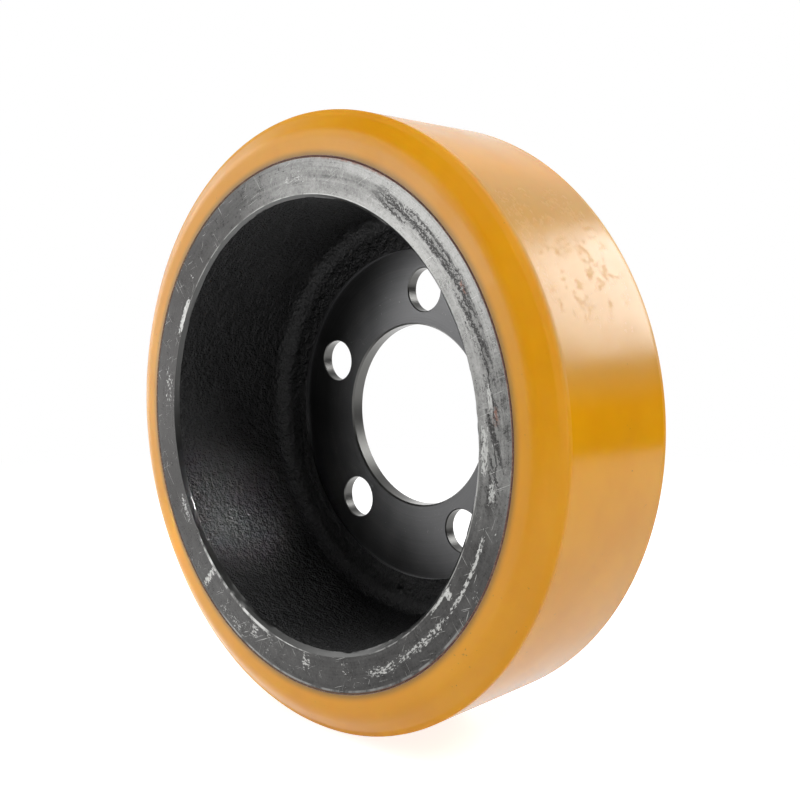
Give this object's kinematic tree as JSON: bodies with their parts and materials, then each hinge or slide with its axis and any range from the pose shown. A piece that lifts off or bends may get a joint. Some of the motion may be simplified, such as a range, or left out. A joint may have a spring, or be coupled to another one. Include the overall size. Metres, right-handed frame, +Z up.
{
  "type": "drive wheel",
  "caption": "Bolt-on drive wheel: a cast iron drum hub with a pilot bore and wheel bolt holes in its web, and a bonded polyurethane tread.",
  "frame": {"origin": "the wheel's centre: on the axle line, midway between the two machined ring faces", "axes": "+Y is the axle line, pointing from the open drum to the closed back; +Z is up, as the wheel stands on its tread"},
  "size_m": [0.25, 0.072, 0.25],
  "materials": {
    "hub_iron": "black painted casting with machined faces",
    "polyurethane": "amber cast polyurethane, satin"
  },
  "bodies": {
    "root": {"wheel_hub": "hub_iron", "tread": "polyurethane"}
  },
  "joints": []
}
